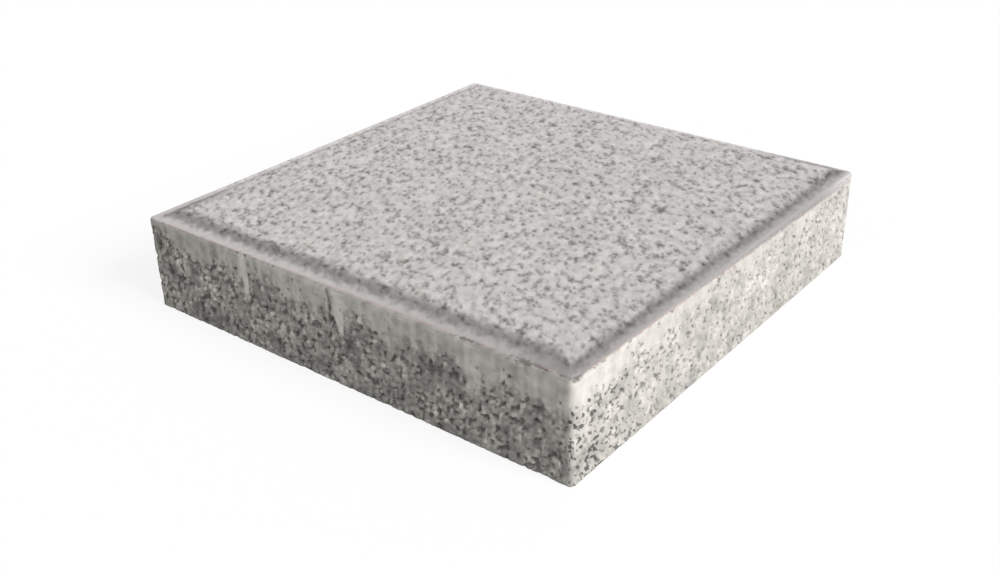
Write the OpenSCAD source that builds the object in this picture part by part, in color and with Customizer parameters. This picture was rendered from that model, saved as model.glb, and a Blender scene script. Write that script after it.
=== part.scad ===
// Concrete paving slab, pressed in a steel mould box, lying on its bed face.
// Origin: centre of the bed face. +Z points up out of the wearing face.
// Units: millimetres.

/* [Slab] */
// Length of the slab along X
slab_l = 300; // [200:1:600]
// Width of the slab along Y
slab_w = 300; // [200:1:600]
// Thickness from the bed face up to the wearing face
slab_t = 60; // [30:1:120]
// Radius of the four upright corners, as the mould box leaves them
corner_r = 3; // [1.75:0.25:5]

/* [Pressed rim] */
// Height of the wearing face above the lip that runs round it
rim_drop = 2.5; // [2:0.25:5]
// Plan width of the hollow cove between the wearing face and the lip
cove_w = 7; // [4:0.25:7.75]
// Radius of the cove's hollow curve
cove_r = 14; // [11.5:0.5:60]
// Width of the flat lip outside the cove, where the press head sits on centre
lip_w = 4; // [3.25:0.25:12]
// Radius of the worn edge between the lip and the sides
arris_r = 1.5; // [0.5:0.1:2.4]

/* [Press head] */
// How far the pressed face sits off the slab's centre along X
press_shift_x = 0; // [-2.25:0.25:2.25]
// How far the pressed face sits off the slab's centre along Y
press_shift_y = 1.5; // [-2.25:0.25:2.25]

/* [Hidden] */

$fn = 144;
concrete_grey = [0.78, 0.77, 0.76];

// Height of the lip
lip_z = slab_t - rim_drop;

// Axes of the upright corners
corner_x = slab_l / 2 - corner_r;
corner_y = slab_w / 2 - corner_r;

// Foot of the cove on each side: plan size of the pressed face with its coves
pressed_l = slab_l - 2 * lip_w;
pressed_w = slab_w - 2 * lip_w;

// The cove is an arc over the chord from the wearing face's edge to the lip.
// Its centre lies above and outside that chord, on the chord's middle line.
cove_chord = norm([cove_w, rim_drop]);
cove_rise = sqrt(pow(cove_r, 2) - pow(cove_chord / 2, 2));
cove_out = cove_rise * rim_drop / cove_chord - cove_w / 2;
cove_up = cove_rise * cove_w / cove_chord + rim_drop / 2;

// Stands an X-Z section up and draws it along Y, over the given length
module along_y(length) {
    rotate([90, 0, 0])
        linear_extrude(height = length, center = true)
            children();
}

// Stands a Y-Z section up and draws it along X, over the given length
module along_x(length) {
    rotate([90, 0, 90])
        linear_extrude(height = length, center = true)
            children();
}

// Upright section of the block below the lip, with a worn edge on both sides
module block_section(span) {
    translate([-span / 2, 0])
        square([span, lip_z - arris_r]);
    translate([arris_r - span / 2, 0])
        square([span - 2 * arris_r, lip_z]);
    for (side = [-1, 1])
        translate([side * (span / 2 - arris_r), lip_z - arris_r])
            circle(arris_r);
}

// Upright section of the pressed face, with a cove down both sides
module pressed_section(span) {
    difference() {
        translate([-span / 2, 0])
            square([span, slab_t]);
        for (side = [-1, 1])
            translate([side * (span / 2 + cove_out), lip_z + cove_up])
                circle(cove_r);
    }
}

// One upright corner: the block's edge turned about the corner's axis
module corner_post() {
    rotate_extrude()
        intersection() {
            block_section(2 * corner_r);
            square([corner_r, lip_z]);
        }
}

// Everything below the lip, shaped by the mould box
module mould_block() {
    along_y(2 * corner_y) block_section(slab_l);
    along_x(2 * corner_x) block_section(slab_w);
    for (x = [-1, 1], y = [-1, 1])
        translate([x * corner_x, y * corner_y, 0])
            corner_post();
}

// Wearing face shaped by the press head: its four coves meet in mitres
module pressed_face() {
    translate([press_shift_x, press_shift_y, 0])
        intersection() {
            along_y(pressed_w) pressed_section(pressed_l);
            along_x(pressed_l) pressed_section(pressed_w);
        }
}

// The whole slab, one solid casting
module slab() {
    color(concrete_grey)
        union() {
            mould_block();
            pressed_face();
        }
}

slab();
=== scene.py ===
"""Concrete paving slab on a pale floor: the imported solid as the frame, and a finely displaced mesh over it.

The relief is written once, as functions that add texture nodes to a node tree. Geometry nodes use it to
displace the mesh, and the materials use it again for colour and bump, so that pores and stains line up.

Lengths are millimetres unless a name ends in _M. A name in _RANGE holds the two values between which
something goes from 0 to 1. A name in _TONES holds the brightness of two places, as its heading says.
"""
import math
from types import SimpleNamespace

import bpy
import numpy as np
from mathutils import Matrix, Vector


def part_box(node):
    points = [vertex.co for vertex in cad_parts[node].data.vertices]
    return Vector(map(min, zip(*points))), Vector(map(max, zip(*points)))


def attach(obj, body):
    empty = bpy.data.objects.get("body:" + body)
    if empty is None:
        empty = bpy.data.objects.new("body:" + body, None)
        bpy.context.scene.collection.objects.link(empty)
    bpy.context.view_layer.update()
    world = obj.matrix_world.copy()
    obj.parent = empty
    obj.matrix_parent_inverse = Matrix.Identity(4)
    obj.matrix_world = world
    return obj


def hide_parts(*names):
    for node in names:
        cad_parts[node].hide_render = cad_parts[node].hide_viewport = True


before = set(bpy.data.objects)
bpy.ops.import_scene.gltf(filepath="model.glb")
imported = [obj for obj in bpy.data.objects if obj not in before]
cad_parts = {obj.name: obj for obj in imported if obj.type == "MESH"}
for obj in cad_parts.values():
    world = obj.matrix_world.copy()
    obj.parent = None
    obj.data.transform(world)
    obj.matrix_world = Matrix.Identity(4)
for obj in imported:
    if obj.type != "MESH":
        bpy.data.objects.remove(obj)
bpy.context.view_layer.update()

MM = 0.001
QUARTER_TURN = math.radians(90)
NOISE_MEAN = 0.5

# Slab, as in the part's source
LOW, HIGH = (np.array(corner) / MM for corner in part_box("slab"))
SLAB_L, SLAB_W, SLAB_T = HIGH - LOW
HALF_L, HALF_W = SLAB_L / 2, SLAB_W / 2
HALF_PLAN = np.array([HALF_L, HALF_W])
CORNER_R = 3.0
RIM_DROP = 2.5
COVE_W = 7.0
COVE_R = 14.0
LIP_W = 4.0
ARRIS_R = 1.5
PRESS_SHIFT = np.array([0.0, 1.5])
LIP_Z = SLAB_T - RIM_DROP

# Mesh spacing: steps on each straight side, on half a corner, round a quarter of the plan, up a side, and
# across the arris, the lip and the cove
SIDE_STEPS = 276
HALF_CORNER_STEPS = 2
PLAN_STEPS = SIDE_STEPS + 2 * HALF_CORNER_STEPS
RISE_STEPS = 52
ARRIS_STEPS = 3
LIP_STEPS = 3
COVE_STEPS = 6

# Wearing face and bed: how many steps of the sides make one of theirs, and the ring where that changes
FACE_RATIO = 2
FACE_RING = 1.6
BED_RATIO = 8
FOOT_R = 0.5
FOOT_RING = 1.2

# Share of the relief at the foot and at the upright corners, and how far off it is full
FOOT_AMOUNT = 0.35
FOOT_CALM = 5.0
CORNER_AMOUNT = 0.5
CORNER_CALM = 8.0

# Relief moves points towards a core that lies this deep in the slab
PUSH_DEPTH = 8.0

# Distance out from the wearing face that stands for all places past the rim
FAR_OUT = COVE_W + 2 * LIP_W

# Numbers of the two materials
SIDE, FACE = 0, 1

# Flat layout for baking, in parts of the sheet: the pressed face, three sides above it, and beside it the
# fourth side on end and the bed
SHEET_NAME = "OFBake"
SHEET_MARGIN = 0.006
SHEET_FACE = 0.62
SHEET_STRIP = 0.118
SHEET_BED = 0.236

# Numbers of the Mix node's sockets, which share their names
MIX_NUMBERS = (2, 3)
MIX_COLOURS = (6, 7)
MIX_COLOUR_OUT = 2

# Places on the slab: where the front's look gives way to the right one's, how deep the skin of a side goes,
# and how far from the two sides in the photograph their wear reaches
CORNER_BLEND = 4.0
SKIN_START = 4.0
SKIN_FULL = 2.0
NEAR_RANGE = (70.0, 25.0)

# Grains of the sides: sizes, depths, how round they are, and how they are warped and drawn out
STONE_SIZE = 3.1
STONE_RELIEF = 0.6
SAND_SIZE = 1.9
SAND_RELIEF = 0.25
GRAIN_ROUND_RANGE = (0.9, 0.2)
WARP_SIZE = 2.6
WARP_AMOUNT = 3.2
GRAIN_AXIS = (0.54, -0.70, 0.47)
GRAIN_RATIO = 2.0

# Pores of the sides: size and depth, what makes more or fewer of them, and the sum that makes one
PORE_SIZE = 3.2
PORE_RELIEF = 1.2
PORE_ON_STONE = -0.14
PORE_ON_SAND = -0.05
PORE_WHERE_BARE = 0.20
PORE_BY_PATCH = 0.50
PORE_RANGE = (0.88, 1.08)
PATCH_SIZE = 14.0

# Pinholes, which paste has too
PINHOLE_SIZE = 2.7
PINHOLE_LEVEL = -0.02
PINHOLE_RIGHT = 0.06
PINHOLE_BARE = 0.05
PINHOLE_CORNER = -0.10
PINHOLE_DOTTED = 0.17
PINHOLE_RANGE = (0.66, 0.83)

# The right side: how full its grains are, how even its blots, how much less paste, and how deep its pores
RIGHT_FILLED = 0.85
RIGHT_EVEN = 0.4
RIGHT_BAND = 4.0
RIGHT_PORE_DEPTH = 0.6

# Band of cement paste along the top of the sides: how far down it goes, what moves its end, and how soft
# that end is
BAND_DEPTH = 13.0
BAND_WAVE_LENGTH = 30.0
BAND_WAVE = 44.0
BAND_STREAK = 16.0
BAND_BLOT = 16.0
BAND_SWELL = 3.0
BAND_SWELL_REACH = 100.0
BAND_EDGE = 5.0
BLOT_SIZE = 6.0
STREAK_SIZE = (4.5, 4.5, 45.0)
LEFT_END = 14.0
LEFT_END_BARE = 14.0

# Depth of the paste's own ripples
PASTE_LEVEL = -0.2
PASTE_STREAK = 0.5
PASTE_BLOT = 0.2

# Places on the front where the mould dragged paste down: X, half width and strength; and a crack beside one
DRAGS = ((-69.0, 4.5, 0.8), (4.0, 6.5, 0.9), (92.0, 7.0, 0.4))
DRAG_CORE = 0.2
DRAG_LENGTH = 18.0
BEND_SIZE = 7.0
BEND = 8.0
CRACK_AT = -3.5
CRACK_WIDTH = 1.6
CRACK_LENGTH = 32.0
CRACK_DEPTH = 0.8

# Relief of the wearing face: freckles, specks that crowd in clusters, and a slight sway
FRECKLE_SIZE = 4.1
SPECK_SIZE = 3.2
SPECK_WARP = 2.4
SPECK_ROUND_RANGE = (0.60, 0.10)
SPECK_SHARE_RANGE = (0.40, 1.0)
SPECK_DEPTH = 0.25
CLUSTER_SIZE = 13.0
CLUSTERING = 0.3
BLOTCH_RANGE = (0.50, 0.78)
SWAY_SIZE = 16.0
SWAY_DEPTH = 0.2

# Where the face turns smooth, in mm out from it, how smooth the far rims are, and where painted light makes
# them paler
SMOOTH_RANGE = (-1.5, 4.0)
FAR_SMOOTH = 0.35
FAR_RIM_PAINTED_LIGHT_RANGE = (0.0, 2.0)

# How far in the lip's outer border lies, at the middle of the front and the right edge and for each mm from
# there; how ragged it is, how far in from the sides it is looked for, and how soft it is
FRONT_LEAN = (2.15, 0.0123)
RIGHT_LEAN = (-1.7, -0.025)
LEAN_LIMITS = (-5.0, 4.5)
RAGGED = 3.0
BORDER_REACH = 20.0
BORDER_BLUR = 0.5

# Dirt on the rim: its darkest line, in mm out from the wearing face, and from there where it starts, is
# full, starts to fade, and ends; and how far stains move it
FRONT_DIRT_AT = 1.15
FRONT_DIRT_LEAN = 0.5
FRONT_DIRT = (-9.0, -0.5, 0.5, 7.5)
FRONT_STAIN = 8.0
RIGHT_DIRT_AT = 2.8
RIGHT_DIRT = (-5.6, 0.0, 0.4, 6.0)
RIGHT_STAIN = 4.0
STAIN_SIZE = 3.6

# Crumbled edges of the lip and the foot: size, spacing and depth of chips, how far out from the border they
# lie, what makes them wider, and the sum that makes one
CHIP_SIZE = 2.6
CHIP_SPACING = 14.0
CHIP_DEPTH = 0.8
CHIP_LINE = 0.6
CHIP_CRUMBLE = 8.0
CHIP_WORN = 7.0
CHIP_LEAN = 0.4
CHIP_RANGE = (-8.2, -10.2)
FOOT_DEPTH = 0.5
FOOT_CRUMBLE = 12.0
FOOT_RANGE = (-5.0, -8.0)

# Colours
SIDE_COLOUR = (0.588, 0.566, 0.524)
FACE_COLOUR = (0.505, 0.482, 0.479)
WARM_COLOUR = (0.514, 0.491, 0.468)
RIM_DARK = (0.252, 0.239, 0.236)
RIM_LIGHT = (0.520, 0.498, 0.489)
PINK = (0.46, 0.36, 0.345)
WHITE = (1.0, 1.0, 1.0, 1.0)

# Tone of the paste: its start, what adds to it, and painted shade in its pores and over the arris, on the
# front and the right, and how dim it is along the front's left part
PASTE_TONE = 0.19
PASTE_TONE_STREAK = 0.60
PASTE_TONE_BLOT = 1.00
PASTE_TONE_DRAG = 0.40
PASTE_TONE_CORNER = 0.12
PASTE_PORE_PAINTED_SHADES = (0.40, 0.60)
WRAP_PAINTED_SHADE_RANGE = (0.0, 0.6)
WRAP_PAINTED_SHADE = (0.62, 0.85)
LEFT_DIM_RANGE = (-50.0, -120.0)
LEFT_DIM = 0.88

# Tone of the open grains: its start, what adds to it, and pale stones, on the front and the right
GRAIN_TONE = 0.68
GRAIN_TONE_MARK = 0.12
GRAIN_TONE_FINE = 0.20
SHADE_SIZE = 3.5
MOTTLE_SHADE = 1.00
MOTTLE_PATCH = 1.80
RIGHT_MOTTLE = 0.5
PALE_STONE_RANGE = (0.70, 0.95)
PALE_TOP_RANGE = (0.3, 0.9)
PALE_STONE_TONES = (0.33, 0.06)

# Painted shade that dims the open grains: in pores, between stones, on the front, near the foot and in the
# crack
PORE_PAINTED_SHADE = 0.49
PORE_PAINTED_SHADE_RIGHT = 0.06
PORE_PAINTED_SHADE_DOTTED = -0.32
GAP_PAINTED_SHADE = 0.82
FRONT_PAINTED_SHADE = 0.9
FRONT_PAINTED_SHADE_REACH = 10.0
FOOT_PAINTED_SHADE = 0.93
FOOT_PAINTED_SHADE_REACH = 35.0
CRACK_PAINTED_SHADOW = 0.55

# Tone of the wearing face: its start, what adds to it, and warmer patches
FACE_TONE = 1.42
FACE_TONE_FRECKLE = -1.05
FACE_TONE_SPECK = -0.52
FACE_TONE_FINE = 0.20
FACE_TONE_BROAD = 0.20
BROAD_SIZE = 26.0
WARM_SIZE = 7.0
WARM_RANGE = (0.52, 0.72)

# Tone of the rim and the lip, with painted light on the far rims: painted shade over the arris and on top
# along the right edge, how dim it is by the corner on the front and the right, and painted shade in chips
RIM_STAIN = 0.20
RIM_FINE = 0.16
LIP_FINE = 0.20
FAR_RIM_PAINTED_LIGHT = 1.25
RIGHT_DIRT_TONE = 0.76
LIP_LIGHT_RANGE = (10.0, 1.0)
LIP_OVER_RANGE = (0.5, 1.0)
LIP_OVER_PAINTED_SHADE = (0.60, 0.82)
LIP_CORNER_REACH = 55.0
LIP_CORNER_TONES = (0.65, 0.90)
LIP_END_START = 5.0
LIP_END_FULL = 50.0
CHIP_PAINTED_SHADE = 0.5

# Broken pink line along the lip's border
PINK_LINE_RANGE = (1.0, 0.2)
PINK_SPACING = 9.0
PINK_BREAK_RANGE = (0.30, 0.50)
PINK_SHARE = 0.8

# Finish: fine grit, gloss, roughness of paste and open grains and of the open and the smooth face, and bump
FINE_SIZE = 0.8
FINE_ROUGH = 0.65
SPECULAR = 0.25
SIDE_ROUGHNESS = (0.86, 0.95)
FACE_ROUGHNESS = (0.93, 0.85)
BUMP_STONE = 0.30
BUMP_SAND = 0.16
BUMP_PORE = -0.5
BUMP_GRAIN_FINE = 0.25
BUMP_PASTE_FINE = 0.14
BUMP_PIT = -0.12
BUMP_FACE_FINE = 0.10

# Camera of the photograph, in degrees; LEVEL is the tilt at which it looks level
CAMERA_AT = Vector((400.1, -513.8, 341.4)) * MM
CAMERA_LENS = 42.76
CAMERA_PITCH = 27.97
CAMERA_YAW = 38.58
CAMERA_ROLL = -1.12
CAMERA_NEAR_M = 0.01
LEVEL = 90

# Light and floor
KEY_STRENGTH = 3.5
KEY_AZIMUTH = 92.0
KEY_ELEVATION = 33.0
KEY_ANGLE = 28.0
SKY_STRENGTH = 0.40
SEEN_SKY_STRENGTH = 1.0
FLOOR_SIZE_M = 14.0
FLOOR_Z_M = 0.0002
FLOOR_COLOUR = 0.5
FLOOR_GLOW = 0.85


# Mesh of the undisplaced slab

def side_frames():
    """Start corner, direction and outward normal of the four sides, anticlockwise from the front."""
    turns = [((-1, -1), (1, 0)), ((1, -1), (0, 1)), ((1, 1), (-1, 0)), ((-1, 1), (0, -1))]
    return [(np.array(c) * HALF_PLAN, np.array(d, float), np.array((d[1], -d[0]), float)) for c, d in turns]


def mould_ring(inset):
    """Points round the slab's plan, drawn in by inset: straight sides and rounded corners."""
    radius = max(CORNER_R - inset, 0.0)
    ring = []
    for start, along, out in side_frames():
        length = abs(along @ HALF_PLAN) * 2
        first = start + along * CORNER_R - out * CORNER_R
        last = first + along * (length - 2 * CORNER_R)
        for i in range(HALF_CORNER_STEPS):
            turn = QUARTER_TURN / 2 * (1 - i / HALF_CORNER_STEPS)
            ring.append(first + radius * (out * math.cos(turn) - along * math.sin(turn)))
        for i in range(SIDE_STEPS + 1):
            ring.append(first + (last - first) * i / SIDE_STEPS + out * radius)
        for i in range(1, HALF_CORNER_STEPS):
            turn = QUARTER_TURN / 2 * i / HALF_CORNER_STEPS
            ring.append(last + radius * (out * math.cos(turn) + along * math.sin(turn)))
    return np.array(ring)


def pressed_ring(inset, steps):
    """Points round the pressed face's plan, drawn in by inset from the foot of the cove."""
    half = HALF_PLAN - LIP_W - inset
    corners = [np.array(c) * half + PRESS_SHIFT for c in ((-1, -1), (1, -1), (1, 1), (-1, 1))]
    ring = []
    for k, corner in enumerate(corners):
        after = corners[(k + 1) % len(corners)]
        ring += [corner + (after - corner) * i / steps for i in range(steps)]
    return np.array(ring)


def cove_height(inset):
    """Height of the cove's arc, inset from its foot towards the wearing face."""
    chord = math.hypot(COVE_W, RIM_DROP)
    rise = math.sqrt(COVE_R ** 2 - (chord / 2) ** 2)
    centre = rise * RIM_DROP / chord - COVE_W / 2
    top = LIP_Z + rise * COVE_W / chord + RIM_DROP / 2
    return top - math.sqrt(COVE_R ** 2 - (inset + centre) ** 2)


class MeshRows:
    """Collects rings of vertices with what the relief needs to know of each, and the faces between them.

    across is how far out from the wearing face a point lies, upper is 0 on the sides and 1 from the lip
    inwards, and amount is its share of the relief.
    """

    def __init__(self):
        self.points = []
        self.values = {"across": [], "upper": [], "amount": []}
        self.faces = []
        self.zones = []
        self.count = 0

    def add(self, plan, z, across=FAR_OUT, upper=0.0, amount=1.0):
        """Adds points at one height, and gives back their numbers."""
        ids = np.arange(self.count, self.count + len(plan))
        self.points.append(np.column_stack([plan, np.full(len(plan), z)]))
        for name, value in (("across", across), ("upper", upper), ("amount", amount)):
            self.values[name].append(np.broadcast_to(value, len(plan)))
        self.count += len(plan)
        return ids

    def join(self, lower, upper, zone):
        """Quads between two rings of as many points."""
        lower_next, upper_next = np.roll(lower, -1), np.roll(upper, -1)
        self.faces += list(zip(lower, lower_next, upper_next, upper))
        self.zones += [zone] * len(lower)

    def thin(self, ring, inner, zone, flip):
        """Fans of triangles from a fine ring to one inside it with fewer points."""
        ratio = len(ring) // len(inner)
        middle = ratio // 2
        for j in range(len(inner)):
            a, b = inner[j], inner[(j + 1) % len(inner)]
            edge = [ring[(j * ratio + i) % len(ring)] for i in range(ratio + 1)]
            fan = [(edge[i + 1], edge[i], a if i < middle else b) for i in range(ratio)]
            fan.append((b, edge[middle], a))
            self.faces += fan if flip else [triangle[::-1] for triangle in fan]
            self.zones += [zone] * len(fan)

    def fill(self, ring, zone, z, flip, **values):
        """A square grid inside a ring whose four sides have the same number of steps."""
        steps = len(ring) // 4
        plan = np.concatenate(self.points)[ring, :2]
        bottom, right = plan[:steps + 1], plan[steps:2 * steps + 1]
        ids = np.zeros((steps + 1, steps + 1), int)
        ids[0, :] = ring[:steps + 1]
        ids[:, steps] = ring[steps:2 * steps + 1]
        ids[steps, ::-1] = ring[2 * steps:3 * steps + 1]
        ids[::-1, 0] = np.append(ring[3 * steps:], ring[0])
        for row in range(1, steps):
            line = np.column_stack([bottom[1:steps, 0], np.full(steps - 1, right[row, 1])])
            ids[row, 1:steps] = self.add(line, z, **values)
        quads = np.stack([ids[:-1, :-1], ids[:-1, 1:], ids[1:, 1:], ids[1:, :-1]], axis=-1).reshape(-1, 4)
        self.faces += [tuple(quad) for quad in (quads[:, ::-1] if flip else quads)]
        self.zones += [zone] * len(quads)


def add_bed(rows):
    """Coarse bed, and finer rings round it up to the foot of the sides."""
    coarse = rows.add(mould_ring(CORNER_R)[::BED_RATIO], 0.0, amount=0.0)
    rows.fill(coarse, SIDE, 0.0, flip=True, amount=0.0)
    bed = rows.add(mould_ring(FOOT_R + FOOT_RING), 0.0, amount=FOOT_AMOUNT / 2)
    rows.thin(bed, coarse, SIDE, flip=True)
    foot = rows.add(mould_ring(FOOT_R), 0.0, amount=FOOT_AMOUNT)
    rows.join(bed, foot, SIDE)
    return foot


def add_sides(rows, ring):
    """The upright sides and the arris above them."""
    wall = mould_ring(0.0)
    to_corner = (HALF_PLAN - np.abs(wall)).max(axis=1)
    calm = np.interp(to_corner, (0.0, CORNER_CALM), (CORNER_AMOUNT, 1.0))
    for z in np.linspace(FOOT_R, LIP_Z - ARRIS_R, RISE_STEPS + 1):
        amount = calm * np.interp(z, (FOOT_R, FOOT_CALM), (FOOT_AMOUNT, 1.0))
        after = rows.add(wall, z, amount=amount)
        rows.join(ring, after, SIDE)
        ring = after
    for i in range(1, ARRIS_STEPS + 1):
        turn = QUARTER_TURN * i / ARRIS_STEPS
        plan = mould_ring(ARRIS_R * (1 - math.cos(turn)))
        after = rows.add(plan, LIP_Z - ARRIS_R * (1 - math.sin(turn)), upper=i / ARRIS_STEPS)
        rows.join(ring, after, SIDE if i == 1 else FACE)
        ring = after
    return ring


def add_rim(rows, ring):
    """The flat lip, and the cove that rises from it."""
    outer = mould_ring(ARRIS_R)
    foot = pressed_ring(0.0, PLAN_STEPS)
    lip_width = np.linalg.norm(outer - foot, axis=1)
    for i in range(1, LIP_STEPS + 1):
        part = i / LIP_STEPS
        across = COVE_W + lip_width * (1 - part)
        after = rows.add(outer + (foot - outer) * part, LIP_Z, across, upper=1.0)
        rows.join(ring, after, FACE)
        ring = after
    for i in range(1, COVE_STEPS + 1):
        inset = COVE_W * i / COVE_STEPS
        after = rows.add(pressed_ring(inset, PLAN_STEPS), cove_height(inset), COVE_W - inset, upper=1.0)
        rows.join(ring, after, FACE)
        ring = after
    return ring


def add_wearing_face(rows, ring):
    """The raised face, inside the cove's top ring; across is negative there."""
    edge = np.concatenate(rows.points)[ring, :2]
    inner = rows.add(pressed_ring(COVE_W + FACE_RING, PLAN_STEPS // FACE_RATIO), SLAB_T, upper=1.0)
    rows.thin(ring, inner, FACE, flip=False)
    rows.fill(inner, FACE, SLAB_T, flip=False, upper=1.0)
    first = ring[-1] + 1
    inside = np.concatenate(rows.points)[first:, :2]
    across = np.concatenate(rows.values["across"])
    across[first:] = -np.minimum(inside - edge.min(axis=0), edge.max(axis=0) - inside).min(axis=1)
    rows.values["across"] = [across]


def build_rows():
    """Closed mesh on the solid's own surface, from the bed up to the wearing face."""
    rows = MeshRows()
    ring = add_bed(rows)
    ring = add_sides(rows, ring)
    ring = add_rim(rows, ring)
    add_wearing_face(rows, ring)
    return rows


def sheet_places(points, faces, zones):
    """Where each corner of each face lies on the flat layout."""
    counts = np.array([len(face) for face in faces])
    at = points[np.concatenate(faces)]
    firsts = np.cumsum(counts) - counts
    centre = np.add.reduceat(at, firsts) / counts[:, None]
    frames = side_frames()
    past_side = [centre[:, :2] @ out - HALF_PLAN @ np.abs(out) for start, along, out in frames]
    nearest = np.repeat(np.argmax(past_side, axis=0), counts)
    face = np.repeat(np.array(zones) == FACE, counts)
    bed = np.repeat(np.maximum.reduceat(at[:, 2], firsts) == 0.0, counts)
    scale = SHEET_FACE / max(SLAB_L, SLAB_W)
    beside = 2 * SHEET_MARGIN + SHEET_FACE
    step = SHEET_STRIP + SHEET_MARGIN
    places = SHEET_MARGIN + (at[:, :2] + HALF_PLAN) * scale
    height = at[:, 2] * scale
    for k, (start, along, out) in enumerate(frames):
        length = (at[:, :2] - start) @ along * scale
        strip = np.column_stack([SHEET_MARGIN + length, beside + k * step + height])
        if k == len(frames) - 1:
            strip = np.column_stack([beside + SHEET_STRIP - height, SHEET_MARGIN + length])
        here = ~face & ~bed & (nearest == k)
        places[here] = strip[here]
    under = (at[bed, :2] * (-1, 1) + HALF_PLAN) * SHEET_BED / max(SLAB_L, SLAB_W)
    places[bed] = under + (beside + step, SHEET_MARGIN)
    return places


def build_slab():
    """The slab as one object, with its plain position and the relief's values kept on its points."""
    rows = build_rows()
    points = np.concatenate(rows.points)
    mesh = bpy.data.meshes.new("slab_concrete")
    mesh.from_pydata((points * MM).tolist(), [], [tuple(int(i) for i in face) for face in rows.faces])
    mesh.polygons.foreach_set("material_index", rows.zones)
    mesh.polygons.foreach_set("use_smooth", [True] * len(mesh.polygons))
    sheet = mesh.uv_layers.new(name=SHEET_NAME)
    sheet.data.foreach_set("uv", sheet_places(points, rows.faces, rows.zones).astype(np.float32).ravel())
    core_low = LOW + PUSH_DEPTH
    core_high = np.array([HIGH[0], HIGH[1], LIP_Z]) - PUSH_DEPTH
    push = points - np.clip(points, core_low, core_high)
    push /= np.linalg.norm(push, axis=1)[:, None]
    for name, vectors in (("rest", points), ("push", push)):
        kept = mesh.attributes.new(name, "FLOAT_VECTOR", "POINT")
        kept.data.foreach_set("vector", vectors.astype(np.float32).ravel())
    for name, values in rows.values.items():
        kept = mesh.attributes.new(name, "FLOAT", "POINT")
        kept.data.foreach_set("value", np.concatenate(values).astype(np.float32))
    piece = bpy.data.objects.new("slab_concrete", mesh)
    bpy.context.scene.collection.objects.link(piece)
    return piece


# Texture nodes, for a shader tree or a geometry tree

class Nodes:
    """Adds nodes to one tree. Inputs are numbers or sockets, and each call gives back an output socket."""

    def __init__(self, tree):
        self.tree = tree

    def make(self, kind, inputs, output=0, **settings):
        """Any node, with its inputs by number or name."""
        node = self.tree.nodes.new(kind)
        for name, value in settings.items():
            setattr(node, name, value)
        for key, value in inputs.items():
            if isinstance(value, bpy.types.NodeSocket):
                self.tree.links.new(value, node.inputs[key])
            else:
                node.inputs[key].default_value = value
        return node.outputs[output]

    def math(self, operation, a, b=0.0):
        """One sum with one or two numbers."""
        return self.make("ShaderNodeMath", {0: a, 1: b}, operation=operation)

    def times(self, first, *others):
        """The product of all that is given."""
        result = first
        for other in others:
            result = self.math("MULTIPLY", result, other)
        return result

    def total(self, start, *terms):
        """A number plus weighted sockets, given as (weight, socket) pairs."""
        result = start
        for weight, socket in terms:
            result = self.make("ShaderNodeMath", {0: socket, 1: weight, 2: result}, operation="MULTIPLY_ADD")
        return result

    def mix(self, part, a, b):
        """a where part is 0, b where it is 1."""
        first, second = MIX_NUMBERS
        return self.make("ShaderNodeMix", {0: part, first: a, second: b})

    def fade(self, part, tone):
        """1 where part is 0, the tone where it is 1."""
        return self.mix(part, 1.0, tone)

    def blend(self, part, a, b):
        """Mixes two colours."""
        a, b = ((*colour, 1.0) if isinstance(colour, tuple) else colour for colour in (a, b))
        first, second = MIX_COLOURS
        inputs = {0: part, first: a, second: b}
        return self.make("ShaderNodeMix", inputs, output=MIX_COLOUR_OUT, data_type="RGBA")

    def scale(self, vector, factor):
        """A vector made longer or shorter, or a colour made lighter or darker."""
        return self.make("ShaderNodeVectorMath", {0: vector, "Scale": factor}, operation="SCALE")

    def ramp(self, value, start, end):
        """0 at start and 1 at end, with a smooth step between."""
        inputs = {"Value": value, "From Min": start, "From Max": end}
        return self.make("ShaderNodeMapRange", inputs, interpolation_type="SMOOTHSTEP")

    def noise(self, at, size, detail=0.0, rough=0.5):
        """Soft noise about its mean, with lumps of the given size."""
        inputs = {"Vector": at, "Scale": 1 / size, "Detail": detail, "Roughness": rough}
        return self.make("ShaderNodeTexNoise", inputs)

    def cells(self, at, size, space="3D"):
        """Distance to the nearest grain's centre, in grain sizes, and that grain's own random number."""
        inputs = {"Vector": at, "Scale": 1 / size}
        distance = self.make("ShaderNodeTexVoronoi", inputs, voronoi_dimensions=space)
        colour = distance.node.outputs["Color"]
        return distance, self.split(colour)["X"]

    def warp(self, at, size, amount):
        """Coordinates pushed about by noise, which makes the outlines of cells irregular."""
        colour = self.make("ShaderNodeTexNoise", {"Vector": at, "Scale": 1 / size}, output="Color")
        aside = self.make("ShaderNodeVectorMath", {0: colour, 1: (NOISE_MEAN,) * 3}, operation="SUBTRACT")
        inputs = {0: aside, 1: (amount,) * 3, 2: at}
        return self.make("ShaderNodeVectorMath", inputs, operation="MULTIPLY_ADD")

    def split(self, at):
        """The three parts of a vector, by their names X, Y and Z."""
        return self.make("ShaderNodeSeparateXYZ", {0: at}).node.outputs

    def draw_out(self, at, axis, ratio):
        """Coordinates in which noise is longer along an axis of unit length, by the ratio."""
        along = self.make("ShaderNodeVectorMath", {0: at, 1: axis}, output="Value", operation="DOT_PRODUCT")
        inputs = {0: self.scale(axis, along), 1: (1 / ratio - 1,) * 3, 2: at}
        return self.make("ShaderNodeVectorMath", inputs, operation="MULTIPLY_ADD")

    def stretch(self, at, sizes):
        """Coordinates in which noise of size 1 has lumps of these sizes along X, Y and Z."""
        return self.make("ShaderNodeVectorMath", {0: at, 1: sizes}, operation="DIVIDE")


# Places on the slab

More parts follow.
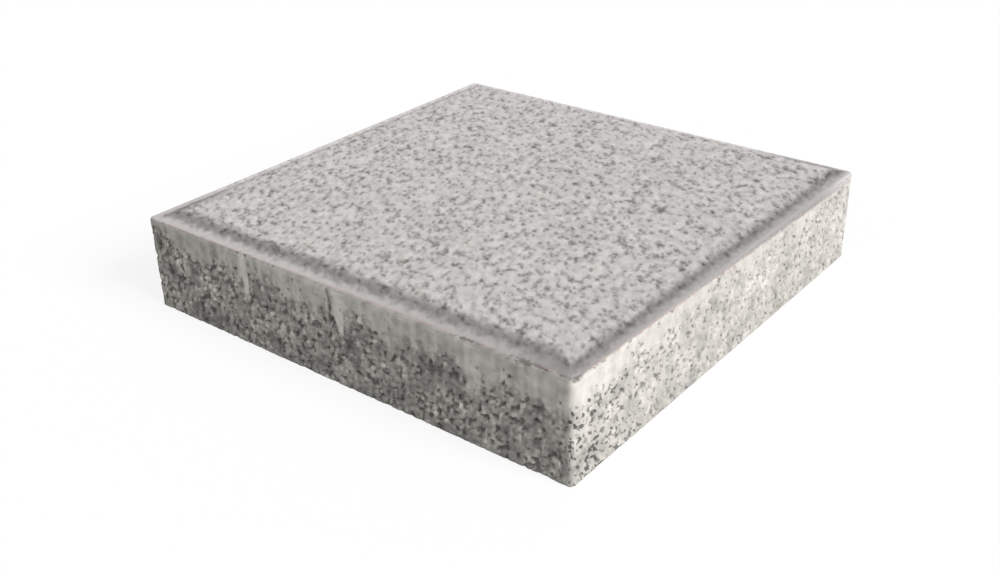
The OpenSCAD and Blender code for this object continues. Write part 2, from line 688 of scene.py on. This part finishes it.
def edge_inset(n, at):
    """Distance in from the slab's sides, seen in plan."""
    place = n.split(at)
    along_x = n.math("SUBTRACT", HALF_L, n.math("ABSOLUTE", place["X"]))
    along_y = n.math("SUBTRACT", HALF_W, n.math("ABSOLUTE", place["Y"]))
    return n.math("MINIMUM", along_x, along_y)


def below_lip(n, at):
    """Height down from the lip."""
    return n.math("SUBTRACT", LIP_Z, n.split(at)["Z"])


def edge_distances(n, at):
    """Distances in plan from the two edges that the photograph shows, front and right."""
    place = n.split(at)
    return n.math("ADD", HALF_W, place["Y"]), n.math("SUBTRACT", HALF_L, place["X"])


def by_corner(n, at, reach):
    """1 at the front corner, and 0 this far off along either edge."""
    return n.ramp(n.math("ADD", *edge_distances(n, at)), reach, 0.0)


def near_sides(n, at):
    """1 along the two sides that the photograph shows, less along the far ones."""
    return n.ramp(n.math("MINIMUM", *edge_distances(n, at)), *NEAR_RANGE)


def rightness(n, at):
    """0 nearer the front edge, 1 nearer the right one."""
    return n.ramp(n.math("SUBTRACT", *edge_distances(n, at)), -CORNER_BLEND, CORNER_BLEND)


def right_side(n, at):
    """1 on the slab's right side and 0 elsewhere."""
    return n.ramp(n.split(at)["X"], HALF_L - SKIN_START, HALF_L - SKIN_FULL)


def front_side(n, at):
    """1 on the slab's front side and 0 elsewhere."""
    return n.ramp(n.split(at)["Y"], SKIN_START - HALF_W, SKIN_FULL - HALF_W)


def rim_lean(n, at):
    """How far in the lip's border lies from the slab's edge."""
    place = n.split(at)
    front_middle, front_slope = FRONT_LEAN
    right_middle, right_slope = RIGHT_LEAN
    front = n.total(front_middle, (front_slope, place["X"]))
    right = n.total(right_middle, (right_slope, place["Y"]))
    least, most = LEAN_LIMITS
    return n.math("MINIMUM", n.math("MAXIMUM", n.mix(rightness(n, at), front, right), least), most)


def lip_border(n, at):
    """Millimetres in from the ragged line where the lip's colour ends and the sides' paste begins."""
    inset = n.math("MINIMUM", edge_inset(n, at), BORDER_REACH)
    inward = n.math("SUBTRACT", inset, below_lip(n, at))
    ragged = n.noise(at, CHIP_SIZE, detail=2.0)
    return n.total(-RAGGED * NOISE_MEAN, (1.0, inward), (-1.0, rim_lean(n, at)), (RAGGED, ragged))


# Relief: depths are millimetres in from the solid's surface, never out from it

def lip_chips(n, at):
    """How much the lip's edge has crumbled, from 0 to 1."""
    crumble = n.noise(at, CHIP_SIZE, detail=1.0)
    worn = n.noise(at, CHIP_SPACING)
    away = n.math("ABSOLUTE", n.math("ADD", lip_border(n, at), CHIP_LINE))
    sound = n.total(0.0, (1.0, away), (-CHIP_CRUMBLE, crumble), (-CHIP_WORN, worn),
                    (-CHIP_LEAN, rim_lean(n, at)))
    return n.ramp(sound, *CHIP_RANGE)


def foot_chips(n, at):
    """How much the foot's edge has crumbled, from 0 to 1."""
    crumble = n.noise(at, CHIP_SIZE, detail=1.0)
    away = n.math("MAXIMUM", edge_inset(n, at), n.split(at)["Z"])
    return n.ramp(n.total(0.0, (1.0, away), (-FOOT_CRUMBLE, crumble)), *FOOT_RANGE)


def off_line(n, at, place):
    """Distance along the front from an upright line that bends a little."""
    bend = n.noise(at, BEND_SIZE, detail=1.0)
    return n.math("ABSOLUTE", n.total(-place - BEND * NOISE_MEAN, (1.0, n.split(at)["X"]), (BEND, bend)))


def crack_mark(n, at):
    """1 along a short crack on the front, beside a drag mark."""
    along = n.ramp(n.split(at)["Z"], LIP_Z - CRACK_LENGTH, LIP_Z - CRACK_LENGTH / 2)
    return n.times(n.ramp(off_line(n, at, CRACK_AT), CRACK_WIDTH, 0.0), along, front_side(n, at))


def drag_marks(n, at):
    """How strongly the mould dragged paste down in some places on the front, from 0 to 1."""
    marks = 0.0
    for place, width, strength in DRAGS:
        mark = n.times(n.ramp(off_line(n, at, place), width, DRAG_CORE * width), strength)
        marks = n.math("MAXIMUM", marks, mark)
    return n.times(marks, front_side(n, at))


def streaks(n, at):
    """Noise drawn out upright, as the mould leaves it on the paste."""
    return n.noise(n.stretch(at, STREAK_SIZE), 1.0, detail=1.0)


def blots(n, at):
    """Noise of soft blots on the paste."""
    return n.noise(at, BLOT_SIZE, detail=2.0)


def bareness(n, at, streak, blot, drag):
    """0 where smooth paste covers the grains, 1 where they lie open."""
    wave = n.noise(n.stretch(at, (BAND_WAVE_LENGTH, BAND_WAVE_LENGTH, SLAB_L)), 1.0, detail=1.0)
    left_end = n.times(n.ramp(n.split(at)["X"], LEFT_END - HALF_L, -HALF_L), front_side(n, at))
    mean = (BAND_WAVE + BAND_STREAK + BAND_BLOT) * NOISE_MEAN
    past_band = n.total(mean - BAND_DEPTH, (1.0, below_lip(n, at)), (-BAND_WAVE, wave),
                        (-BAND_STREAK, streak), (-BAND_BLOT, blot),
                        (-BAND_SWELL, by_corner(n, at, BAND_SWELL_REACH)), (-DRAG_LENGTH, drag),
                        (RIGHT_BAND, right_side(n, at)), (LEFT_END_BARE, left_end))
    return n.ramp(past_band, -BAND_EDGE, BAND_EDGE)


def side_relief(n, at):
    """Paste that the mould smoothed along the top, and open grains with pores between them below it."""
    drawn = n.draw_out(at, GRAIN_AXIS, GRAIN_RATIO)
    loose = n.warp(drawn, WARP_SIZE, WARP_AMOUNT)
    stone, stone_mark = n.cells(loose, STONE_SIZE)
    sand, sand_mark = n.cells(loose, SAND_SIZE)
    right = right_side(n, at)
    corner = by_corner(n, at, BAND_SWELL_REACH)
    patch = n.noise(at, PATCH_SIZE, detail=2.0)
    streak = streaks(n, at)
    blot = n.mix(n.times(right, RIGHT_EVEN), blots(n, at), NOISE_MEAN)
    drag = drag_marks(n, at)
    crack = crack_mark(n, at)
    bare = bareness(n, at, streak, blot, drag)
    dotted = n.times(corner, right, bare)

    filled = n.times(right, RIGHT_FILLED)
    lump = n.mix(filled, n.ramp(stone, *GRAIN_ROUND_RANGE), 1.0)
    grit = n.mix(filled, n.ramp(sand, *GRAIN_ROUND_RANGE), 1.0)
    ripple = n.mix(filled, streak, NOISE_MEAN)

    pitting = n.total(0.0, (1.0, n.noise(drawn, PORE_SIZE, detail=1.0)), (PORE_ON_STONE, lump),
                      (PORE_ON_SAND, grit), (PORE_WHERE_BARE, bare), (PORE_BY_PATCH, patch))
    pinhole = n.total(PINHOLE_LEVEL, (1.0, n.noise(drawn, PINHOLE_SIZE, detail=1.0)), (PINHOLE_RIGHT, right),
                      (PINHOLE_BARE, bare), (PINHOLE_CORNER, corner), (PINHOLE_DOTTED, dotted))
    pore = n.math("MAXIMUM", n.ramp(pitting, *PORE_RANGE), n.ramp(pinhole, *PINHOLE_RANGE))

    grains = n.total(STONE_RELIEF + SAND_RELIEF, (-STONE_RELIEF, lump), (-SAND_RELIEF, grit))
    paste = n.total(PASTE_LEVEL, (PASTE_STREAK, ripple), (PASTE_BLOT, blot))
    pit = n.times(pore, n.fade(right, RIGHT_PORE_DEPTH))
    depth = n.total(n.mix(bare, paste, grains), (PORE_RELIEF, pit), (CRACK_DEPTH, crack))
    return SimpleNamespace(
        depth=n.math("MAXIMUM", depth, 0.0), bare=bare, lump=lump, grit=grit, pore=pore, patch=patch,
        stone_mark=stone_mark, sand_mark=sand_mark, shade=n.noise(drawn, SHADE_SIZE, detail=1.0),
        ripple=ripple, blot=blot, drag=drag, crack=crack, right=right, dotted=dotted)


def dirt_band(n, outward, profile):
    """0 outside a profile and 1 where it is full."""
    starts, full, fades, ends = profile
    return n.times(n.ramp(outward, starts, full), n.ramp(outward, ends, fades))


def face_relief(n, at, across):
    """Freckled, finely pitted wearing face; towards the rim it turns smooth and dirty."""
    drawn = n.draw_out(at, GRAIN_AXIS, GRAIN_RATIO)
    right = rightness(n, at)
    near = near_sides(n, at)
    stain = n.noise(drawn, STAIN_SIZE, detail=1.0)
    front_out = n.total(-FRONT_STAIN * NOISE_MEAN - FRONT_DIRT_AT, (1.0, across),
                        (FRONT_DIRT_LEAN, rim_lean(n, at)), (FRONT_STAIN, stain))
    right_out = n.total(-RIGHT_STAIN * NOISE_MEAN - RIGHT_DIRT_AT, (1.0, across), (RIGHT_STAIN, stain))
    dirt = n.mix(right, dirt_band(n, front_out, FRONT_DIRT), dirt_band(n, right_out, RIGHT_DIRT))
    smooth = n.ramp(n.mix(right, front_out, right_out), *SMOOTH_RANGE)
    smooth = n.times(smooth, n.mix(near, FAR_SMOOTH, 1.0))
    # Far rims, whose cove faces away from the lamp: painted light makes them paler
    far_rim_painted_light = n.times(n.ramp(across, *FAR_RIM_PAINTED_LIGHT_RANGE), n.math("SUBTRACT", 1.0, near))

    freckle = n.noise(drawn, FRECKLE_SIZE, detail=3.0)
    cluster = n.noise(at, CLUSTER_SIZE, detail=1.0)
    cell, mark = n.cells(n.warp(drawn, WARP_SIZE, SPECK_WARP), SPECK_SIZE, space="2D")
    dot = n.times(n.ramp(cell, *SPECK_ROUND_RANGE), n.ramp(mark, *SPECK_SHARE_RANGE))
    crowd = n.total(-CLUSTERING * NOISE_MEAN, (1.0, freckle), (CLUSTERING, cluster))
    speck = n.math("MAXIMUM", dot, n.ramp(crowd, *BLOTCH_RANGE))
    pits = n.times(n.math("SUBTRACT", 1.0, smooth), speck)
    depth = n.total(0.0, (SPECK_DEPTH, pits), (SWAY_DEPTH, n.noise(at, SWAY_SIZE, detail=1.0)))
    return SimpleNamespace(
        depth=depth, pits=pits, freckle=freckle, speck=speck, smooth=smooth, stain=stain, far_rim_painted_light=far_rim_painted_light,
        dirt=n.times(dirt, near))


def displace(piece):
    """Moves the mesh in by the relief, and keeps the result as plain mesh data."""
    tree = bpy.data.node_groups.new("relief", "GeometryNodeTree")
    tree.interface.new_socket("Geometry", in_out="INPUT", socket_type="NodeSocketGeometry")
    tree.interface.new_socket("Geometry", in_out="OUTPUT", socket_type="NodeSocketGeometry")
    n = Nodes(tree)
    at, push = (n.make("GeometryNodeInputNamedAttribute", {"Name": name}, data_type="FLOAT_VECTOR")
                for name in ("rest", "push"))
    across, upper, amount = (n.make("GeometryNodeInputNamedAttribute", {"Name": name}, data_type="FLOAT")
                             for name in ("across", "upper", "amount"))
    depth = n.mix(upper, side_relief(n, at).depth, face_relief(n, at, across).depth)
    depth = n.total(depth, (CHIP_DEPTH, lip_chips(n, at)), (FOOT_DEPTH, foot_chips(n, at)))
    offset = n.scale(push, n.times(depth, amount, -MM))
    start = tree.nodes.new("NodeGroupInput")
    moved = n.make("GeometryNodeSetPosition", {"Geometry": start.outputs[0], "Offset": offset})
    end = tree.nodes.new("NodeGroupOutput")
    tree.links.new(moved, end.inputs[0])
    modifier = piece.modifiers.new("relief", "NODES")
    modifier.node_group = tree
    shown = bpy.context.evaluated_depsgraph_get()
    made = bpy.data.meshes.new_from_object(piece.evaluated_get(shown), preserve_all_data_layers=True,
                                           depsgraph=shown)
    piece.modifiers.clear()
    piece.data = made
    piece.data.name = piece.name


# Materials

def new_surface(name):
    """A material with its node helper and its shader."""
    material = bpy.data.materials.new(name)
    material.use_nodes = True
    shader = material.node_tree.nodes["Principled BSDF"]
    shader.inputs["Specular IOR Level"].default_value = SPECULAR
    return material, Nodes(material.node_tree), shader


def attribute(n, name, output):
    """What the mesh keeps on its points under a name."""
    return n.make("ShaderNodeAttribute", {}, output=output, attribute_name=name)


def finish_surface(n, shader, colour, rough, height):
    """Links colour, roughness and bump to the shader."""
    n.tree.links.new(colour, shader.inputs["Base Color"])
    n.tree.links.new(rough, shader.inputs["Roughness"])
    bump = n.make("ShaderNodeBump", {"Height": height, "Distance": MM, "Strength": 1.0})
    n.tree.links.new(bump, shader.inputs["Normal"])


def fine_grit(n, at):
    """Noise of the finest grit, on every surface."""
    return n.noise(at, FINE_SIZE, detail=3.0, rough=FINE_ROUGH)


def paste_colour(n, at, streak, blot, pore, drag):
    """Smooth paste, with painted shade in pores and where it wraps over the front arris, as dim as the side
    below.
    """
    right = right_side(n, at)
    corner = n.times(by_corner(n, at, BAND_SWELL_REACH), right)
    tone = n.total(PASTE_TONE, (PASTE_TONE_STREAK, streak), (PASTE_TONE_BLOT, blot), (PASTE_TONE_DRAG, drag),
                   (PASTE_TONE_CORNER, corner))
    # Painted shade in the pores, darker on the front than on the right
    paste_pore_shade = n.fade(pore, n.mix(right, *PASTE_PORE_PAINTED_SHADES))
    left = n.times(n.ramp(n.split(at)["X"], *LEFT_DIM_RANGE), front_side(n, at))
    # Painted shade where the paste wraps over the arris, as dim as the side below
    over = n.ramp(attribute(n, "upper", "Fac"), *WRAP_PAINTED_SHADE_RANGE)
    wrap_painted_shade = n.fade(over, n.mix(rightness(n, at), *WRAP_PAINTED_SHADE))
    return n.scale(SIDE_COLOUR, n.times(tone, paste_pore_shade, n.fade(left, LEFT_DIM), wrap_painted_shade))


def lip_tone_and_painted_shade(n, at):
    """How dim the lip is by the front corner, and painted shade along the right edge, most of all over the
    arris.
    """
    right = rightness(n, at)
    over = n.ramp(attribute(n, "upper", "Fac"), *LIP_OVER_RANGE)
    along = n.ramp(n.split(at)["Y"], HALF_W - LIP_END_START, HALF_W - LIP_END_FULL)
    # Painted shade along the right edge, on top of the lip and more over its arris
    edge = n.fade(n.times(right, along), n.mix(over, *LIP_OVER_PAINTED_SHADE))
    corner = n.fade(by_corner(n, at, LIP_CORNER_REACH), n.mix(right, *LIP_CORNER_TONES))
    return n.times(edge, corner)


def edge_colour(n, at, lip_colour, side_colour):
    """The lip's colour up to its chipped border, a broken pink line there, and the sides' colour past it."""
    border = lip_border(n, at)
    colour = n.blend(n.ramp(border, BORDER_BLUR, -BORDER_BLUR), lip_colour, side_colour)
    unbroken = n.ramp(n.noise(at, PINK_SPACING, detail=1.0), *PINK_BREAK_RANGE)
    line = n.times(n.ramp(n.math("ABSOLUTE", border), *PINK_LINE_RANGE), unbroken)
    # Painted shade in the chips along the lip's edge
    return n.scale(n.blend(n.times(line, PINK_SHARE), colour, PINK), n.fade(lip_chips(n, at), CHIP_PAINTED_SHADE))


def grain_tone(n, at, s, fine):
    """Tone of the open grains, from the sides' relief s: mottled, with pale stones and painted shade in
    pores.
    """
    pale = n.times(n.ramp(s.stone_mark, *PALE_STONE_RANGE), n.ramp(s.lump, *PALE_TOP_RANGE),
                   n.mix(s.right, *PALE_STONE_TONES))
    mottle = n.total(-(MOTTLE_PATCH + MOTTLE_SHADE) * NOISE_MEAN, (MOTTLE_PATCH, s.patch),
                     (MOTTLE_SHADE, s.shade))
    mottle = n.times(mottle, n.fade(s.right, RIGHT_MOTTLE))
    tone = n.total(GRAIN_TONE, (GRAIN_TONE_MARK, s.stone_mark), (GRAIN_TONE_MARK, s.sand_mark),
                   (GRAIN_TONE_FINE, fine), (1.0, mottle), (1.0, pale))
    # Painted shade in pores, a little lighter on the right and darker in the dotted corner
    grain_pore_shade = n.total(PORE_PAINTED_SHADE, (PORE_PAINTED_SHADE_RIGHT, s.right), (PORE_PAINTED_SHADE_DOTTED, s.dotted))
    place = n.split(at)
    # Painted shade on the front side, which faces away from the lamp
    front = n.ramp(place["Y"], FRONT_PAINTED_SHADE_REACH - HALF_W, -HALF_W)
    # Painted shade towards the foot, where less light bounces up from the floor
    foot = n.ramp(place["Z"], FOOT_PAINTED_SHADE_REACH, 0.0)
    # Painted shade in pores and in the gaps between stones
    return n.times(tone, n.fade(s.pore, grain_pore_shade), n.mix(s.lump, GAP_PAINTED_SHADE, 1.0), n.fade(front, FRONT_PAINTED_SHADE),
                   n.fade(foot, FOOT_PAINTED_SHADE))


def side_material():
    """The sides and the bed, up to the lip's border."""
    material, n, shader = new_surface("concrete_sides")
    at = attribute(n, "rest", "Vector")
    s = side_relief(n, at)
    fine = fine_grit(n, at)
    # Paste colour, with painted shade in pores and over the arris
    paste = paste_colour(n, at, s.ripple, s.blot, s.pore, s.drag)
    # Grain colour, with painted shade in pores and gaps, on the front side and near the foot
    grains = n.scale(SIDE_COLOUR, grain_tone(n, at, s, fine))
    # Painted shadow along the crack
    side = n.scale(n.blend(s.bare, paste, grains), n.fade(s.crack, CRACK_PAINTED_SHADOW))
    lip = n.total(1 - LIP_FINE * NOISE_MEAN, (LIP_FINE, fine))
    # Lip colour, with painted shade along the right edge
    lip = n.scale(RIM_LIGHT, n.times(lip, lip_tone_and_painted_shade(n, at)))
    rough = n.mix(s.bare, *SIDE_ROUGHNESS)
    coarse = n.total(0.0, (BUMP_STONE, s.lump), (BUMP_SAND, s.grit), (BUMP_PORE, s.pore),
                     (BUMP_GRAIN_FINE, fine))
    smooth = n.total(0.0, (BUMP_PASTE_FINE, fine), (BUMP_PORE, s.pore))
    finish_surface(n, shader, edge_colour(n, at, lip, side), rough, n.mix(s.bare, smooth, coarse))
    return material


def face_material():
    """The wearing face, the cove and the lip, and the paste that wraps over the arris."""
    material, n, shader = new_surface("concrete_face")
    at = attribute(n, "rest", "Vector")
    f = face_relief(n, at, attribute(n, "across", "Fac"))
    fine = fine_grit(n, at)
    broad = n.noise(at, BROAD_SIZE, detail=2.0)
    warm = n.ramp(n.noise(at, WARM_SIZE, detail=1.0), *WARM_RANGE)
    freckled = n.total(FACE_TONE, (FACE_TONE_FRECKLE, f.freckle), (FACE_TONE_SPECK, f.speck),
                       (FACE_TONE_FINE, fine), (FACE_TONE_BROAD, broad))
    plain = n.total(1 - (RIM_STAIN + RIM_FINE) * NOISE_MEAN, (RIM_STAIN, f.stain), (RIM_FINE, fine))
    # Painted light on the far rims
    tone = n.times(n.mix(f.smooth, freckled, plain), n.fade(f.far_rim_painted_light, FAR_RIM_PAINTED_LIGHT))
    # Pale lip colour, with painted shade along the right edge
    pale = n.scale(RIM_LIGHT, n.times(n.ramp(rim_lean(n, at), *LIP_LIGHT_RANGE), lip_tone_and_painted_shade(n, at)))
    clean = n.blend(f.smooth, n.blend(warm, FACE_COLOUR, WARM_COLOUR), pale)
    dark = n.scale(RIM_DARK, n.fade(rightness(n, at), RIGHT_DIRT_TONE))
    lip = n.scale(n.blend(f.dirt, clean, dark), tone)
    # Paste over the arris, with painted shade as dim as the side below
    side = paste_colour(n, at, streaks(n, at), blots(n, at), pore=0.0, drag=0.0)
    rough = n.mix(f.smooth, *FACE_ROUGHNESS)
    height = n.total(0.0, (BUMP_PIT, f.pits), (BUMP_FACE_FINE, fine))
    finish_surface(n, shader, edge_colour(n, at, lip, side), rough, height)
    return material


slab = build_slab()
displace(slab)
for made in (side_material(), face_material()):
    slab.data.materials.append(made)
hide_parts("slab")
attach(slab, "root")


# Floor, light and camera

def seen_or_bounced(n, bounced, seen):
    """One shader for light that bounces, and another for what the camera, gloss or glass sees directly."""
    path = n.make("ShaderNodeLightPath", {}).node.outputs
    direct = n.math("MAXIMUM", path["Is Camera Ray"], path["Is Glossy Ray"])
    direct = n.math("MAXIMUM", direct, path["Is Transmission Ray"])
    return n.make("ShaderNodeMixShader", {0: direct, 1: bounced, 2: seen})


def make_floor():
    """Pale floor: seen directly it glows towards white but keeps the slab's soft shadow.

    It lies a hair above the bed, which can then be seen from below.
    """
    bpy.ops.mesh.primitive_plane_add(size=FLOOR_SIZE_M, location=(0.0, 0.0, FLOOR_Z_M))
    floor = bpy.context.object
    floor.name = "floor"
    paint = bpy.data.materials.new("floor")
    paint.use_nodes = True
    n = Nodes(paint.node_tree)
    n.tree.nodes.clear()
    plain, pale = (n.make("ShaderNodeBsdfDiffuse", {"Color": (level, level, level, 1.0)})
                   for level in (FLOOR_COLOUR, 1 - FLOOR_GLOW))
    glow = n.make("ShaderNodeEmission", {"Strength": FLOOR_GLOW})
    both = n.make("ShaderNodeAddShader", {0: pale, 1: glow})
    output = n.tree.nodes.new("ShaderNodeOutputMaterial")
    n.tree.links.new(seen_or_bounced(n, plain, both), output.inputs["Surface"])
    floor.data.materials.append(paint)


def make_key():
    """One broad lamp low on the right."""
    key = bpy.data.lights.new("key", "SUN")
    key.energy = KEY_STRENGTH
    key.angle = math.radians(KEY_ANGLE)
    lamp = bpy.data.objects.new("key", key)
    around, above = math.radians(KEY_AZIMUTH), math.radians(KEY_ELEVATION)
    level = math.cos(above)
    towards = Vector((math.sin(around) * level, -math.cos(around) * level, math.sin(above)))
    lamp.rotation_euler = towards.to_track_quat("Z", "Y").to_euler()
    bpy.context.scene.collection.objects.link(lamp)


def make_sky():
    """An even sky, which the camera sees as white."""
    world = bpy.data.worlds.new("sky")
    bpy.context.scene.world = world
    world.use_nodes = True
    n = Nodes(world.node_tree)
    n.tree.nodes.clear()
    sky, white = (n.make("ShaderNodeBackground", {"Color": WHITE, "Strength": strength})
                  for strength in (SKY_STRENGTH, SEEN_SKY_STRENGTH))
    output = n.tree.nodes.new("ShaderNodeOutputWorld")
    n.tree.links.new(seen_or_bounced(n, sky, white), output.inputs["Surface"])


def turned(degrees, axis):
    """A turn about one axis, as a matrix of four rows."""
    return Matrix.Rotation(math.radians(degrees), 4, axis)


def make_camera():
    """The photograph's camera."""
    data = bpy.data.cameras.new("camera")
    data.lens = CAMERA_LENS
    data.clip_start = CAMERA_NEAR_M
    camera = bpy.data.objects.new("camera", data)
    turn = turned(CAMERA_YAW, "Z") @ turned(LEVEL - CAMERA_PITCH, "X") @ turned(CAMERA_ROLL, "Z")
    camera.matrix_world = Matrix.Translation(CAMERA_AT) @ turn
    bpy.context.scene.collection.objects.link(camera)
    bpy.context.scene.camera = camera


make_floor()
make_key()
make_sky()
make_camera()
bpy.context.scene.view_settings.view_transform = "Standard"
